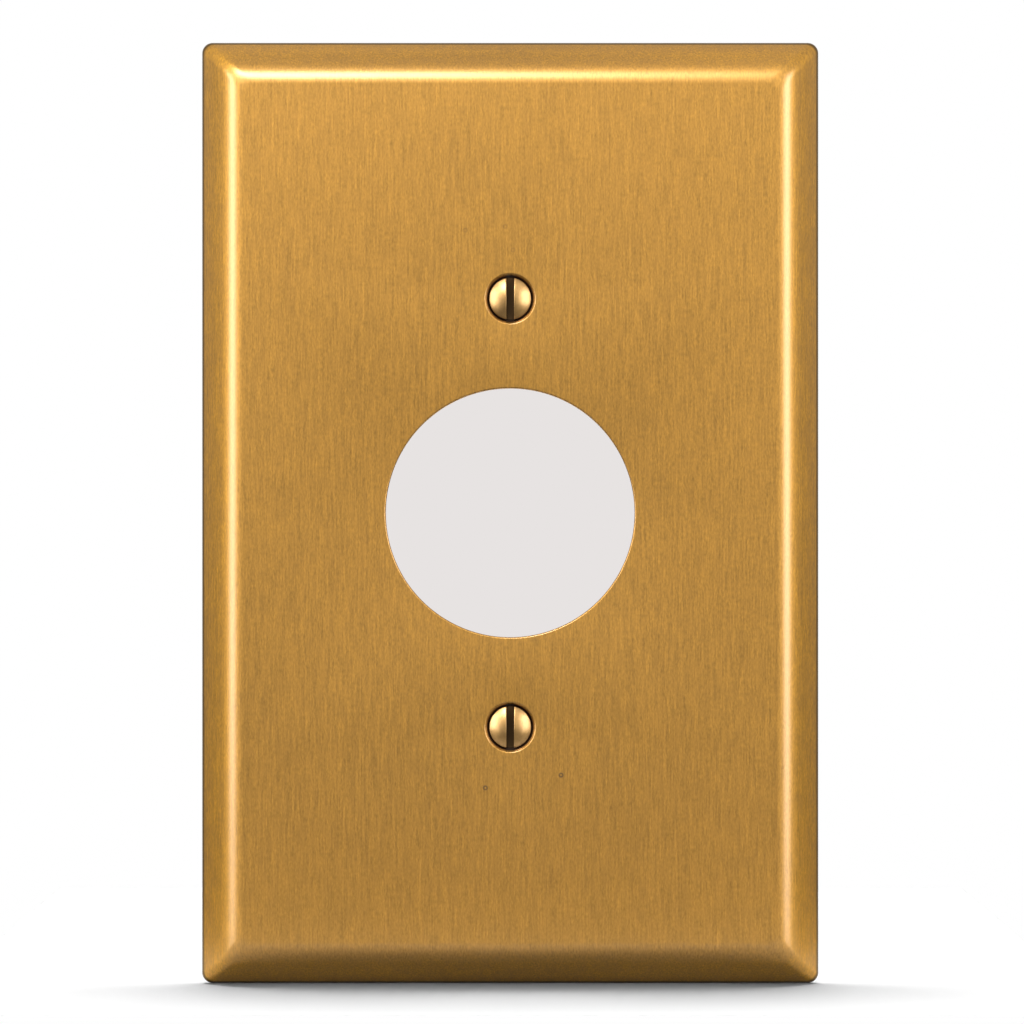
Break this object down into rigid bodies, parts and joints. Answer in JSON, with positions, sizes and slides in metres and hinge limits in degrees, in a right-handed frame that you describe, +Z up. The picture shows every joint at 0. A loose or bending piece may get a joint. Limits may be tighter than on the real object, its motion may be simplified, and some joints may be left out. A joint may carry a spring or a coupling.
{
  "type": "single receptacle wall plate",
  "caption": "Oversize brushed brass wall plate with a drawn bevelled edge, a round receptacle opening and countersinks that hold slotted oval-head screws.",
  "frame": {"origin": "in the wall plane, on the axis of the round opening, midway between the screws", "axes": "+X to the right as seen from the front, +Y into the wall, +Z up; the plate's face looks along -Y"},
  "size_m": [0.0874, 0.0137, 0.1334],
  "materials": {
    "brushed_brass": "sheet brass brushed up and down, under a satin lacquer",
    "screw_brass": "polished brass head, duller in the slot and on the thread"
  },
  "bodies": {
    "root": {"wall_plate": "brushed_brass", "upper_screw": "screw_brass", "lower_screw": "screw_brass"}
  },
  "joints": []
}
